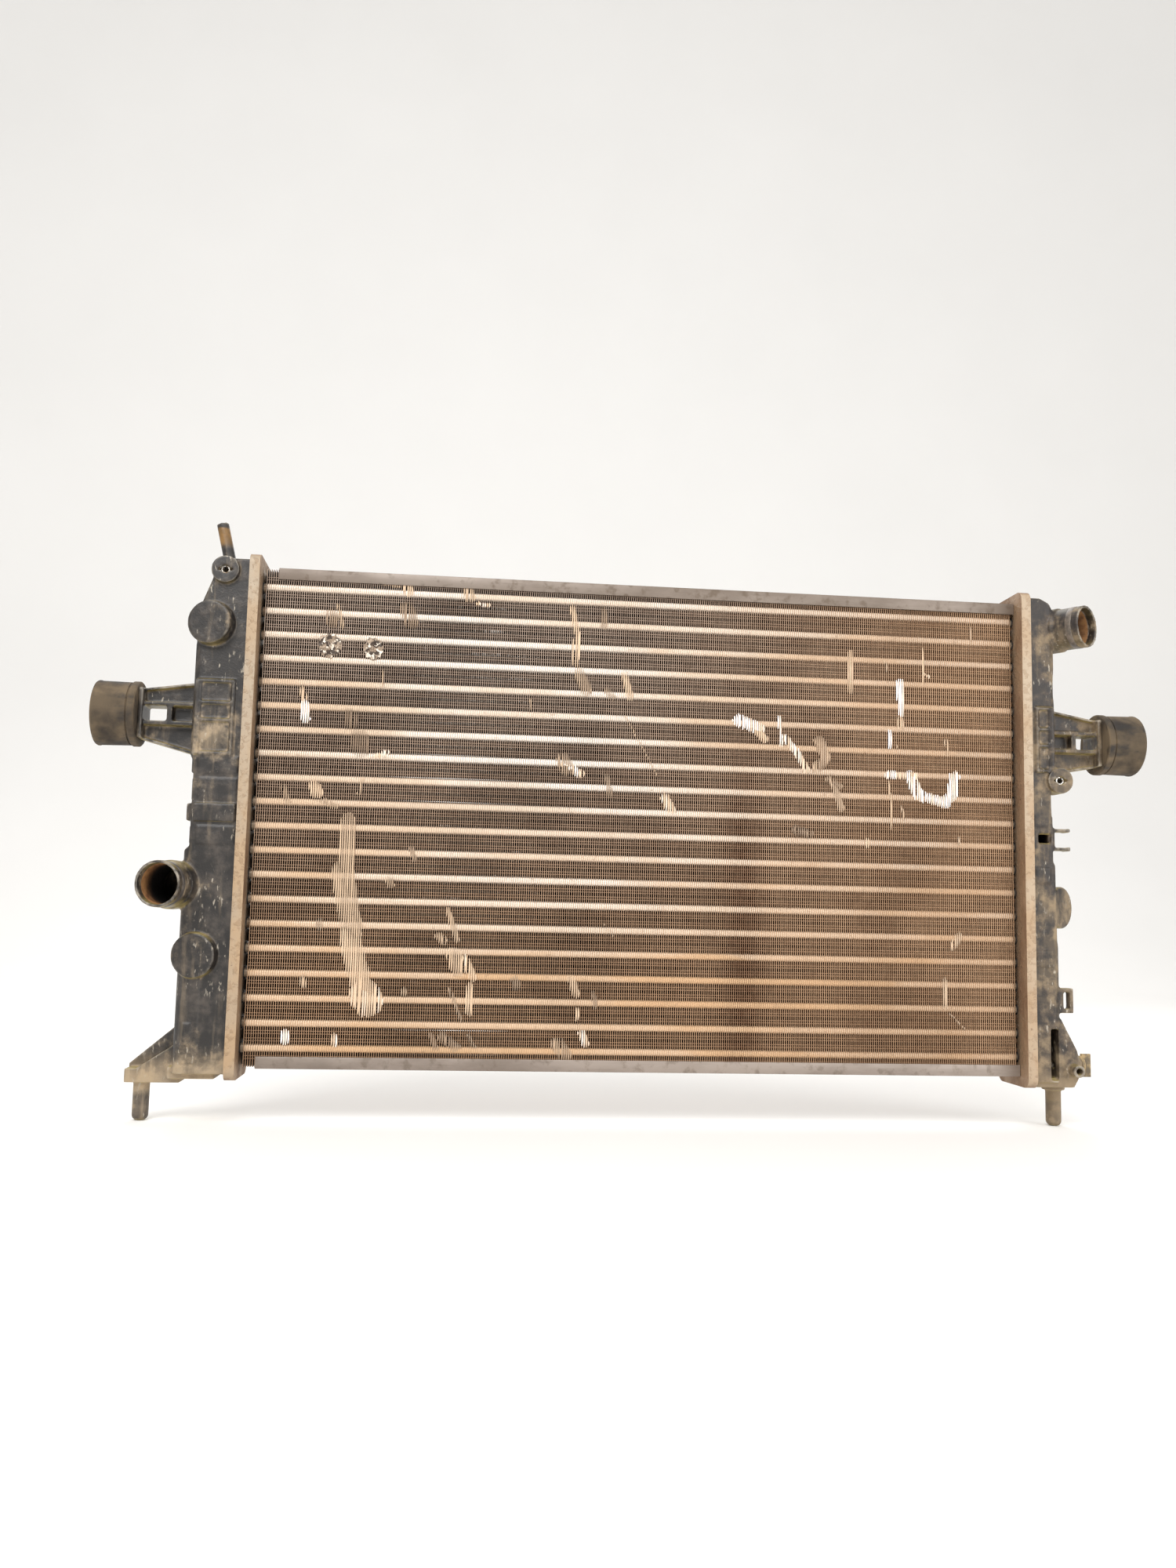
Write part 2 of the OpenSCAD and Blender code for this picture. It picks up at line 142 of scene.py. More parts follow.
class Finish(Web):
    """A material whose colour, sheen and relief come from nodes."""

    def __init__(self, name, metallic, roughness):
        self.material = bpy.data.materials.new(name)
        self.material.use_nodes = True
        super().__init__(self.material.node_tree)
        self.shader = self.tree.nodes["Principled BSDF"]
        self.shader.inputs["Metallic"].default_value = metallic
        self.shader.inputs["Roughness"].default_value = roughness
        self.place = self.add("ShaderNodeTexCoord", {}, {}, "Object")
        parts = self.add("ShaderNodeSeparateXYZ", {}, {"Vector": self.place})
        axes = parts.socket.node.outputs
        self.x, self.y, self.z = (Wire(self, axes[i]) for i in range(3))
        facing = self.add("ShaderNodeNewGeometry", {}, {}, "Normal")
        turn = self.add("ShaderNodeSeparateXYZ", {}, {"Vector": facing})
        sides = turn.socket.node.outputs
        self.side, self.back, self.up = (Wire(self, sides[i]) for i in range(3))

    def grain(self, size, detail, stretch=(1, 1, 1), shift=0.0, rough=0.55):
        """Soft noise from 0 to 1 in patches of this size in metres."""
        moved = self.add(
            "ShaderNodeMapping",
            {},
            {"Vector": self.place, "Location": (shift, shift, shift), "Scale": stretch},
        )
        return self.add(
            "ShaderNodeTexNoise",
            {},
            {"Vector": moved, "Scale": 1 / size, "Detail": detail, "Roughness": rough},
        )

    def blend(self, first, second, share):
        """One colour turning into another as share goes from 0 to 1."""
        return self.add("ShaderNodeMix", {"data_type": "RGBA"}, {0: share, 6: first, 7: second}, 2)

    def wear(self, colour, roughness=None):
        """Lets the colour, and the sheen if it is given, vary over a surface."""
        self.tree.links.new(colour.socket, self.shader.inputs["Base Color"])
        if roughness is not None:
            self.tree.links.new(roughness.socket, self.shader.inputs["Roughness"])

    def relief(self, height, depth):
        """Raises the surface by up to depth metres where height is 1."""
        bump = self.add("ShaderNodeBump", {}, {"Height": height, "Distance": depth, "Strength": 1.0})
        self.tree.links.new(bump.socket, self.shader.inputs["Normal"])

    def on(self, *pieces):
        for piece in pieces:
            piece.data.materials.clear()
            piece.data.materials.append(self.material)


def rgb(red, green, blue):
    """A colour from its screen values of 0 to 255."""
    return tuple((v / 255) ** 2.2 for v in (red, green, blue)) + (1.0,)


tube_finish = Finish("dusty_drawn_aluminium", 0.35, 0.42)
film = tube_finish.grain(0.02, 4, (0.3, 1, 1)).rise(0.4, 0.75)
spots = tube_finish.grain(0.004, 2).rise(0.55, 0.72)
tube_finish.wear(
    colour=tube_finish.blend(
        tube_finish.blend(rgb(150, 132, 112), rgb(112, 90, 68), film), rgb(84, 64, 48), spots * 0.5
    ),
    roughness=film * 0.2 + 0.38,
)
tube_finish.relief(tube_finish.grain(0.0012, 2), 0.00005)
tubes = [node for name, node in nodes.items() if "_tube_" in name]
tube_finish.on(*tubes)

# ---------------------------------------------------------------- fins
# 356 pressed aluminium fins, each a thin strip as tall as the core, are held
# by the expanded tubes. Rows of louvres are cut and turned out of each fin
# above and below every tube.
fin_low, fin_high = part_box("fin_pack")
fin_parts = 4
fins_per_part = 89
fin_count = fin_parts * fins_per_part
fin_thick = 0.00034
fin_step = (fin_high.x - fin_low.x - fin_thick) / (fin_count - 1)
tube_pitch = 0.01856
core_mid = (fin_low + fin_high) / 2
louvre_size = (0.00016, 0.0040, 0.0035)
louvre_levels = 20
louvre_rows = (
    # height beside the tube's middle, place in the core's depth, lean in degrees
    (0.00566, -0.0099, 21),
    (-0.00566, -0.0099, 21),
    (0.00362, 0.0098, -21),
    (-0.00362, 0.0098, -21),
)


class Growth(Web):
    """A Geometry Nodes tree with named inputs, run on a bare object."""

    def __init__(self, name, inputs):
        tree = bpy.data.node_groups.new(name, "GeometryNodeTree")
        super().__init__(tree)
        tree.interface.new_socket("Geometry", in_out="INPUT", socket_type="NodeSocketGeometry")
        kinds = {
            int: "NodeSocketInt",
            float: "NodeSocketFloat",
            bpy.types.Material: "NodeSocketMaterial",
        }
        self.values = inputs
        self.keys = {}
        for key, value in inputs.items():
            kind = next(k for t, k in kinds.items() if isinstance(value, t))
            item = tree.interface.new_socket(key, in_out="INPUT", socket_type=kind)
            self.keys[key] = item.identifier
        tree.interface.new_socket("Geometry", in_out="OUTPUT", socket_type="NodeSocketGeometry")
        self.start = tree.nodes.new("NodeGroupInput")

    def given(self, key):
        return Wire(self, self.start.outputs[key])

    def triple(self, x, y, z):
        return self.add("ShaderNodeCombineXYZ", {}, {0: x, 1: y, 2: z})

    def finish_with(self, shape, material):
        whole = self.add("GeometryNodeRealizeInstances", {}, {0: shape})
        clad = self.add("GeometryNodeSetMaterial", {}, {"Geometry": whole, "Material": material})
        end = self.tree.nodes.new("NodeGroupOutput")
        self.tree.links.new(clad.socket, end.inputs[0])

    def grow(self, name, seedling=None, **changed):
        """Runs the tree and returns what it makes as a plain mesh object."""
        stem = bpy.data.objects.new(name, seedling or bpy.data.meshes.new(name))
        bpy.context.scene.collection.objects.link(stem)
        step = stem.modifiers.new("growth", "NODES")
        step.node_group = self.tree
        for key, value in {**self.values, **changed}.items():
            step[self.keys[key]] = value
        bpy.context.view_layer.update()
        grown = stem.evaluated_get(bpy.context.evaluated_depsgraph_get())
        mesh = bpy.data.meshes.new_from_object(grown)
        bpy.data.objects.remove(stem)
        piece = bpy.data.objects.new(name, mesh)
        bpy.context.scene.collection.objects.link(piece)
        return piece


fin_finish = Finish("dusty_rolled_fin", 0.15, 0.55)
cake = fin_finish.grain(0.09, 5, shift=1.0).rise(0.42, 0.66)
fine = fin_finish.grain(0.005, 3, shift=3.0).rise(0.4, 0.75)
run_down = 1 - fin_finish.z.rise(0.18, 0.3)
stain = (1 - abs(fin_finish.x - 0.452 - cake * 0.006).rise(0.0, 0.026)) * run_down
rightward = fin_finish.x.rise(0.3, 0.66)
upward = fin_finish.z.rise(0.05, 0.36)
# Painted light and shade: the fins' front and back edges are painted in lit tones, and their sides
# deeper in the core in darker tones, as the shade between the fins.
lit_fin_edges = abs(fin_finish.y).rise(0.0114, 0.0128)
deep = fin_finish.blend(rgb(72, 58, 48), rgb(98, 68, 45), rightward * 0.8 + cake * 0.2)
lit = fin_finish.blend(
    fin_finish.blend(rgb(190, 152, 118), rgb(184, 162, 144), upward), rgb(196, 160, 126), rightward
)
fin_finish.wear(
    colour=fin_finish.blend(
        fin_finish.blend(deep, lit, lit_fin_edges * (0.9 - cake * 0.3) + 0.06),
        rgb(100, 64, 40),
        fine * 0.2 + stain * 0.5,
    ),
    roughness=cake * 0.15 + 0.55,
)

fins = Growth(
    "fins_and_louvres",
    {
        "Count": fins_per_part,
        "First": 0.0,
        "Spacing": float(fin_step),
        "Thickness": fin_thick,
        "Depth": float(fin_high.y - fin_low.y - 0.0001),
        "Height": float(fin_high.z - fin_low.z),
        "Middle": float(core_mid.z),
        "Pitch": tube_pitch,
        "Metal": fin_finish.material,
    },
)
spacing, count, pitch = fins.given("Spacing"), fins.given("Count"), fins.given("Pitch")
strip = fins.add(
    "GeometryNodeMeshCube",
    {},
    {
        "Size": fins.triple(fins.given("Thickness"), fins.given("Depth"), fins.given("Height")),
        "Vertices X": 2,
        "Vertices Y": 2,
        "Vertices Z": 13,
    },
)
line = fins.add(
    "GeometryNodeMeshLine",
    {"mode": "OFFSET"},
    {
        "Count": count,
        "Start Location": fins.triple(fins.given("First"), 0.0, fins.given("Middle")),
        "Offset": fins.triple(spacing, 0.0, 0.0),
    },
)
stack = fins.add("GeometryNodeInstanceOnPoints", {}, {"Points": line, "Instance": strip})
solid_stack = fins.add("GeometryNodeRealizeInstances", {}, {0: stack})
where = fins.add("GeometryNodeInputPosition", {}, {})
sway = fins.add(
    "ShaderNodeTexNoise", {"noise_dimensions": "3D"}, {"Vector": where, "Scale": 34.0, "Detail": 1.0}
)
wavy_stack = fins.add(
    "GeometryNodeSetPosition",
    {},
    {"Geometry": solid_stack, "Offset": fins.triple((sway - 0.5) * 0.0016, 0.0, 0.0)},
)
louvre = fins.add(
    "GeometryNodeMeshCube",
    {},
    {"Size": louvre_size, "Vertices X": 2, "Vertices Y": 2, "Vertices Z": 2},
)
rows = [wavy_stack]
for above, depth_at, lean in louvre_rows:
    sheet = fins.add(
        "GeometryNodeMeshGrid",
        {},
        {
            "Size X": spacing * (count - 1),
            "Size Y": pitch * float(louvre_levels - 1),
            "Vertices X": count,
            "Vertices Y": louvre_levels,
        },
    )
    placed = fins.add(
        "GeometryNodeTransform",
        {},
        {
            "Geometry": sheet,
            "Translation": fins.triple(
                fins.given("First") + spacing * (count - 1) * 0.5 + spacing * 0.5,
                depth_at,
                fins.given("Middle") + above,
            ),
            "Rotation": (math.pi / 2, 0, 0),
        },
    )
    tilt = fins.add(
        "FunctionNodeRandomValue",
        {"data_type": "FLOAT_VECTOR"},
        {
            "Min": (-0.03, -0.05, math.radians(lean - 4)),
            "Max": (0.03, 0.05, math.radians(lean + 4)),
            "Seed": 7,
        },
    )
    rows.append(
        fins.add(
            "GeometryNodeInstanceOnPoints",
            {},
            {"Points": placed, "Instance": louvre, "Rotation": tilt},
        )
    )
joined = fins.tree.nodes.new("GeometryNodeJoinGeometry")
for row in rows:
    fins.tree.links.new(row.socket, joined.inputs[0])
fins.finish_with(Wire(fins, joined.outputs[0]), fins.given("Metal"))

for part in range(fin_parts):
    first = float(fin_low.x + fin_thick / 2 + part * fins_per_part * fin_step)
    block = fins.grow(f"fins_{part + 1}", First=first)
    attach(block, "radiator")
    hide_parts("fin_pack")

# ---------------------------------------------------------------- collars
# Each fin is drawn out into a collar round every tube. The collars touch and
# show as one bright band a little behind the fins' edges; the ends of the
# louvres line up beside it as thin rails.


def bars(name, sections, x_from, x_to):
    """One mesh of straight bars along X; a section is a ring of (y, z)."""
    shell = bmesh.new()
    for ring in sections:
        ends = [[shell.verts.new((x, y, z)) for y, z in ring] for x in (x_from, x_to)]
        shell.faces.new(ends[0])
        shell.faces.new(ends[1][::-1])
        for i in range(len(ring)):
            j = (i + 1) % len(ring)
            shell.faces.new((ends[0][j], ends[0][i], ends[1][i], ends[1][j]))
    bmesh.ops.recalc_face_normals(shell, faces=shell.faces)
    mesh = bpy.data.meshes.new(name)
    shell.to_mesh(mesh)
    shell.free()
    for face in mesh.polygons:
        face.use_smooth = True
    mesh.set_sharp_from_angle(angle=math.radians(50))
    piece = bpy.data.objects.new(name, mesh)
    bpy.context.scene.collection.objects.link(piece)
    return piece


collar_finish = Finish("collar_aluminium", 0.1, 0.45)
tan = collar_finish.grain(0.12, 4, (0.6, 1, 2.2), 2.0).rise(0.44, 0.6)
upper = collar_finish.z.rise(0.07, 0.2)
drift = collar_finish.grain(0.3, 2, shift=5.0)
# A painted highlight: the upper bands are painted near white around a place that drifts along them.
painted_highlight = (1 - abs(collar_finish.x - 0.2 - drift * 0.2).rise(0.02, 0.2)) * upper
dirt = collar_finish.grain(0.0022, 3, (0.6, 1, 1)).rise(0.6, 0.75)
dull = collar_finish.grain(0.03, 4, (0.5, 1, 1), 4.0).rise(0.5, 0.8)
toward_right = collar_finish.x.rise(0.4, 0.66)
collar_finish.wear(
    colour=collar_finish.blend(
        collar_finish.blend(
            collar_finish.blend(
                rgb(240, 223, 202), rgb(222, 186, 144), (1 - upper) * 0.6 + tan * 0.6
            ),
            rgb(255, 250, 240),
            painted_highlight * (1 - tan * 0.6),
        ),
        rgb(146, 122, 100),
        dirt * 0.4 + dull * 0.2 + toward_right * 0.36,
    ),
    roughness=tan * 0.25 + 0.4,
)
collar_deep, collar_tall = 0.0057, 0.0031
rail_half, rail_deep = 0.00018, 0.0004
rail_reach = 0.188
end_gap = 0.0006
around = 24
bands, rails = [], []
for row, tubes_in_row in ((-1, 20), (1, 21)):
    mid_y, front = row * 0.0065, row * 0.0122
    back = front - row * rail_deep
    for k in range(tubes_in_row):
        z = core_mid.z + ((tubes_in_row - 1) / 2 - k) * tube_pitch
        ring = []
        for i in range(around):
            a = 2 * math.pi * i / around
            across, up = math.cos(a), math.sin(a)
            ring.append(
                (
                    mid_y + collar_deep * math.copysign(abs(across) ** 0.6, across),
                    z + collar_tall * math.copysign(abs(up) ** 0.6, up),
                )
            )
        bands.append(ring)
        for rise_by in (-0.0076, -0.0055, 0.0055, 0.0076):
            rail = z + rise_by
            if abs(rail - core_mid.z) < rail_reach:
                foot, head = rail - rail_half, rail + rail_half
                rails.append([(front, foot), (front, head), (back, head), (back, foot)])
for name, sections, skin in (
    ("collar_bands", bands, collar_finish),
    ("louvre_rails", rails, fin_finish),
):
    group = bars(name, sections, fin_low.x + end_gap, fin_high.x - end_gap)
    skin.on(group)
    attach(group, "radiator")

# ---------------------------------------------------------------- bent fins
# Stones and tools have bent the fins' front edges over in scrapes and dents.
# Where an edge is bent, it shows as a lip beside its neighbours, painted bright as the glint a bent
# edge catches.
dents = [
    # points (x, z) along a dent, its half width in metres, how bright its painted glint is
    ([(0.1450, 0.1990), (0.1442, 0.1700), (0.1490, 0.1350), (0.1540, 0.1180)], 0.0062, 0.5),
    ([(0.1400, 0.1600), (0.1460, 0.1300), (0.1520, 0.1120)], 0.0070, 0.5),
    ([(0.1500, 0.1120), (0.1560, 0.0850), (0.1620, 0.0640)], 0.0088, 0.6),
    ([(0.1620, 0.0680), (0.1650, 0.0620)], 0.0120, 0.75),
    ([(0.1260, 0.1230), (0.1262, 0.1160)], 0.0022, 0.3),
    ([(0.1500, 0.1290), (0.1500, 0.1250)], 0.0022, 0.3),
    ([(0.1160, 0.0775), (0.1170, 0.0735)], 0.0034, 0.5),
    ([(0.1050, 0.0390), (0.1050, 0.0310)], 0.0030, 0.9),
    ([(0.1414, 0.0360), (0.1418, 0.0300)], 0.0026, 0.8),
    ([(0.1775, 0.1540), (0.1785, 0.1500)], 0.0034, 0.4),
    ([(0.1930, 0.1790), (0.1960, 0.1700)], 0.0024, 0.25),
    ([(0.1916, 0.0710), (0.1920, 0.0680)], 0.0026, 0.4),
    ([(0.2226, 0.1330), (0.2306, 0.1090)], 0.0026, 0.5),
    ([(0.2176, 0.1120), (0.2206, 0.1090)], 0.0042, 0.4),
    ([(0.2286, 0.0984), (0.2326, 0.0874)], 0.0066, 0.5),
    ([(0.2376, 0.0960), (0.2436, 0.0810)], 0.0034, 0.7),
    ([(0.2420, 0.0760), (0.2420, 0.0540)], 0.0030, 0.6),
    ([(0.2260, 0.0730), (0.2360, 0.0480)], 0.0018, 0.35),
    ([(0.2130, 0.0380), (0.2170, 0.0280)], 0.0028, 0.3),
    ([(0.2220, 0.0360), (0.2320, 0.0290)], 0.0046, 0.3),
    ([(0.2420, 0.0380), (0.2460, 0.0290)], 0.0020, 0.3),
    ([(0.2760, 0.0800), (0.2770, 0.0750)], 0.0040, 0.25),
    ([(0.3190, 0.0820), (0.3230, 0.0700)], 0.0036, 0.55),
    ([(0.3240, 0.0590), (0.3240, 0.0510)], 0.0022, 0.7),
    ([(0.3280, 0.0405), (0.3310, 0.0325)], 0.0036, 0.75),
    ([(0.3360, 0.0720), (0.3380, 0.0600)], 0.0022, 0.25),
    ([(0.3100, 0.0320), (0.3160, 0.0240)], 0.0060, 0.4),
    ([(0.3430, 0.1250), (0.3520, 0.1130)], 0.0010, 0.4),
    ([(0.1400, 0.3890), (0.1760, 0.3840)], 0.0020, 0.4),
    ([(0.1820, 0.3870), (0.1840, 0.3790)], 0.0040, 0.6),
    ([(0.2300, 0.3860), (0.2320, 0.3770)], 0.0046, 0.45),
    ([(0.2390, 0.3730), (0.2470, 0.3720)], 0.0022, 0.7),
    ([(0.1300, 0.3670), (0.1340, 0.3490)], 0.0020, 0.45),
    ([(0.1250, 0.3610), (0.1260, 0.3510)], 0.0040, 0.3),
    ([(0.1830, 0.3666), (0.1870, 0.3556)], 0.0066, 0.28),
    ([(0.3130, 0.3730), (0.3180, 0.3510), (0.3170, 0.3280)], 0.0030, 0.6),
    ([(0.3195, 0.3210), (0.3265, 0.3070)], 0.0052, 0.35),
    ([(0.3380, 0.3730), (0.3390, 0.3580)], 0.0026, 0.3),
    ([(0.3425, 0.3070), (0.3465, 0.3030)], 0.0040, 0.3),
    ([(0.3555, 0.3210), (0.3605, 0.3030)], 0.0032, 0.6),
    ([(0.1660, 0.3170), (0.1670, 0.3030)], 0.0012, 0.45),
    ([(0.2820, 0.2980), (0.2860, 0.2880)], 0.0022, 0.35),
    ([(0.1430, 0.2820), (0.1440, 0.2730)], 0.0050, 0.15),
    ([(0.1500, 0.2630), (0.1520, 0.2550)], 0.0080, 0.15),
    ([(0.1656, 0.2492), (0.1716, 0.2522)], 0.0034, 0.75),
    ([(0.1180, 0.2244), (0.1200, 0.2194)], 0.0052, 0.6),
    ([(0.1260, 0.2134), (0.1340, 0.2094)], 0.0034, 0.35),
    ([(0.0950, 0.2240), (0.0980, 0.2120)], 0.0026, 0.35),
    ([(0.1540, 0.2330), (0.1520, 0.2190)], 0.0012, 0.45),
    ([(0.3110, 0.2476), (0.3220, 0.2406)], 0.0042, 0.8),
    ([(0.3090, 0.2516), (0.3120, 0.2436)], 0.0060, 0.35),
    ([(0.3430, 0.2400), (0.3460, 0.2240)], 0.0026, 0.3),
    ([(0.3560, 0.2900), (0.3840, 0.2400), (0.3850, 0.2200)], 0.0010, 0.4),
    ([(0.3900, 0.2236), (0.3950, 0.2146)], 0.0046, 0.75),
    ([(0.4490, 0.2880), (0.4650, 0.2820)], 0.0058, 0.95),
    ([(0.4630, 0.2820), (0.4690, 0.2740)], 0.0040, 0.6),
    ([(0.4810, 0.2930), (0.4830, 0.2690)], 0.0014, 1.0),
    ([(0.4860, 0.2760), (0.4960, 0.2640), (0.5040, 0.2500)], 0.0034, 0.8),
    ([(0.5140, 0.2740), (0.5200, 0.2600), (0.5120, 0.2520)], 0.0050, 0.4),
    ([(0.5260, 0.2400), (0.5320, 0.2200)], 0.0034, 0.45),
    ([(0.5400, 0.3480), (0.5400, 0.3150)], 0.0024, 0.55),
    ([(0.5690, 0.3420), (0.5700, 0.3320)], 0.0010, 0.5),
    ([(0.6000, 0.3540), (0.6005, 0.3220)], 0.0010, 0.6),
    ([(0.6010, 0.3320), (0.6060, 0.3300)], 0.0022, 0.7),
    ([(0.6410, 0.3720), (0.6410, 0.3600)], 0.0014, 0.5),
    ([(0.5810, 0.3250), (0.5820, 0.2990)], 0.0034, 1.0),
    ([(0.5810, 0.2950), (0.5820, 0.2860)], 0.0026, 0.6),
    ([(0.5730, 0.2850), (0.5730, 0.2700)], 0.0014, 1.0),
    ([(0.5790, 0.2720), (0.5830, 0.2700)], 0.0026, 0.5),
    ([(0.5720, 0.2480), (0.5930, 0.2480)], 0.0042, 0.8),
    (
        [(0.5900, 0.2480), (0.5960, 0.2330), (0.6180, 0.2270), (0.6240, 0.2330), (0.6270, 0.2490)],
        0.0050,
        1.0,
    ),
    ([(0.5720, 0.2440), (0.5740, 0.2050)], 0.0010, 0.55),
    ([(0.5820, 0.2240), (0.5840, 0.2120)], 0.0012, 0.5),
    ([(0.6200, 0.2790), (0.6210, 0.2650)], 0.0014, 0.5),
    ([(0.4960, 0.2020), (0.5060, 0.1990)], 0.0046, 0.25),
    ([(0.5540, 0.1960), (0.5540, 0.1900)], 0.0024, 0.65),
    ([(0.6290, 0.1210), (0.6240, 0.1120)], 0.0036, 0.5),
    ([(0.6170, 0.0860), (0.6172, 0.0640)], 0.0024, 0.5),
    ([(0.6200, 0.0600), (0.6330, 0.0480)], 0.0014, 0.4),
    ([(0.1062, 0.2995), (0.1070, 0.2895)], 0.0026, 0.5),
    ([(0.1075, 0.2895), (0.1090, 0.2755)], 0.0036, 1.0),
    ([(0.5230, 0.2430), (0.5300, 0.2380)], 0.0040, 0.35),
    ([(0.6300, 0.2000), (0.6300, 0.1940)], 0.0016, 0.4),
]


def from_dent(x, z, route):
    """How far a point lies from the nearest stretch of a dent."""
    nearest = 1.0
    for (x0, z0), (x1, z1) in zip(route, route[1:]):
        dx, dz = x1 - x0, z1 - z0
        t = max(0.0, min(1.0, ((x - x0) * dx + (z - z0) * dz) / (dx * dx + dz * dz)))
        nearest = min(nearest, math.hypot(x - x0 - t * dx, z - z0 - t * dz))
    return nearest


def add_lip(fin_x, heights, brightness):
    """One bent edge: a thin curl beside the fin, from the first height to the last."""
    lean = 1 if chance.random() < 0.9 else -1
    glint = brightness * chance.uniform(0.75, 1.1)
    cuts = max(2, min(9, len(heights) // 3))
    rings = []
    for c in range(cuts + 1):
        t = c / cuts
        z = heights[0] + (heights[-1] - heights[0]) * t
        swell = 0.25 + math.sin(math.pi * (0.04 + 0.92 * t)) ** 0.6
        fold = swell * chance.uniform(0.8, 1.0) * (0.0006 + 0.00045 * brightness)
        out = fin_low.y - 0.0001 - 0.0002 * math.sin(math.pi * t)
        root_x, tip_x = fin_x - lean * 0.00015, fin_x + lean * fold
        rings.append(
            [
                lips.verts.new((root_x, out, z)),
                lips.verts.new((tip_x, out + 0.00018, z)),
                lips.verts.new((tip_x - lean * 0.00008, out + 0.00030, z)),
                lips.verts.new((root_x, out + 0.00045, z)),
            ]
        )
    faces = [lips.faces.new(rings[0]), lips.faces.new(rings[-1])]
    for one, two in zip(rings, rings[1:]):
        for i in range(4):
            j = (i + 1) % 4
            faces.append(lips.faces.new((one[i], one[j], two[j], two[i])))
    for face in faces:
        for loop in face.loops:
            loop[shine] = (glint, glint, glint, 1)


chance = random.Random(11)
lips = bmesh.new()
shine = lips.loops.layers.float_color.new("shine")
probe = 0.0012
for route, half, brightness in dents:
    left, right = min(x for x, z in route) - half, max(x for x, z in route) + half
    top, bottom = max(z for x, z in route) + half, min(z for x, z in route) - half
    for k in range(fin_count):
        fin_x = fin_low.x + fin_thick / 2 + k * fin_step
        if not left < fin_x < right:
            continue
        inside = []
        reach = half * chance.uniform(0.88, 1.08)
        for n in range(int((top - bottom) / probe) + 1):
            z = top - n * probe
            hit = from_dent(fin_x, z, route) < reach
            if hit:
                inside.append(z)
            if inside and (not hit or z < bottom + probe):
                if len(inside) > 2:
                    add_lip(fin_x, inside, brightness)
                inside = []
bmesh.ops.recalc_face_normals(lips, faces=lips.faces)
lip_mesh = bpy.data.meshes.new("bent_fin_lips")
lips.to_mesh(lip_mesh)
lips.free()
bent = bpy.data.objects.new("bent_fin_lips", lip_mesh)
bpy.context.scene.collection.objects.link(bent)
# Painted highlight: each lip is painted lighter, up to near white, by the glint it carries.
lip_finish = Finish("bright_bent_edge", 0.0, 0.5)
smut = lip_finish.grain(0.012, 4).rise(0.42, 0.66)
glare = lip_finish.add("ShaderNodeAttribute", {"attribute_name": "shine"}, {}, "Fac")
lip_finish.wear(
    colour=lip_finish.blend(
        lip_finish.blend(rgb(134, 112, 92), rgb(214, 184, 152), glare.rise(0.1, 0.7)),
        rgb(252, 242, 238),
        glare.rise(0.6, 1.0) * (1 - smut * 0.4),
    ),
    roughness=smut * 0.3 + 0.35,
)
lip_finish.on(bent)
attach(bent, "radiator")

# ---------------------------------------------------------------- punctures
# Two sharp knocks have torn pits in the fins. Round each the fins are
# crumpled like foil, and torn shreds of bright metal stand in it.
ring_count, around = 7, 22
pits = bmesh.new()
for pit_x, pit_z, wide, tall in (
    (0.1250, 0.3344, 0.0088, 0.0098),
    (0.1588, 0.3334, 0.0078, 0.0088),
):
    rings = []
    for r in range(ring_count):
        ring = []
        for i in range(around):
            a = 2 * math.pi * (i + 0.5 * (r % 2)) / around
            out = (r + 0.5) / 6.5 * chance.uniform(0.86, 1.1)
            sunk = chance.uniform(0.0, 0.00045)
            sunk = sunk + (0.0005 if r < 2 else 0.0) + (0.0004 if r == ring_count - 1 else 0.0)
            x, z = pit_x + wide * out * math.cos(a), pit_z + tall * out * math.sin(a)
            ring.append(pits.verts.new((x, fin_low.y - 0.0006 + sunk, z)))
        rings.append(ring)
    back = [pits.verts.new((v.co.x, fin_low.y + 0.0012, v.co.z)) for v in rings[-1]]
    pits.faces.new(rings[0])
    pits.faces.new(back)
    for one, two in zip(rings, rings[1:] + [back]):
        for i in range(around):
            j = (i + 1) % around
            pits.faces.new((one[i], one[j], two[j]))
            pits.faces.new((one[i], two[j], two[i]))
bmesh.ops.recalc_face_normals(pits, faces=pits.faces)
pit_mesh = bpy.data.meshes.new("torn_pits")
pits.to_mesh(pit_mesh)
pits.free()
torn = bpy.data.objects.new("torn_pits", pit_mesh)
bpy.context.scene.collection.objects.link(torn)
pit_finish = Finish("crumpled_foil", 0.3, 0.4)
# Painted light and shade on the crumpled foil: noise paints dark patches as shade and pale patches as
# glints.
shade = pit_finish.grain(0.0042, 3, shift=2.0).rise(0.46, 0.54)
painted_glint = pit_finish.grain(0.0034, 2, shift=9.0).rise(0.56, 0.62)
pit_finish.wear(
    colour=pit_finish.blend(
        pit_finish.blend(rgb(140, 122, 104), rgb(62, 50, 41), shade), rgb(214, 202, 186), painted_glint
    )
)
pit_finish.on(torn)
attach(torn, "radiator")

shreds = Growth(
    "torn_shreds",
    {
        "Gap": 0.0009,
        "Width": 0.0007,
        "Length": 0.0022,
        "Spread": 0.0032,
        "Seed": 3,
        "Metal": pit_finish.material,
    },
)
path = Wire(shreds, shreds.start.outputs[0])
along = shreds.add(
    "GeometryNodeCurveToPoints", {"mode": "LENGTH"}, {"Curve": path, "Length": shreds.given("Gap")}
)
spread = shreds.given("Spread")
scatter = shreds.add(
    "FunctionNodeRandomValue",
    {"data_type": "FLOAT_VECTOR"},
    {
        "Min": shreds.triple(spread * -1.0, -0.0003, spread * -0.8),
        "Max": shreds.triple(spread, 0.0003, spread * 0.8),
        "Seed": shreds.given("Seed"),
    },
)
scattered = shreds.add("GeometryNodeSetPosition", {}, {"Geometry": along, "Offset": scatter})
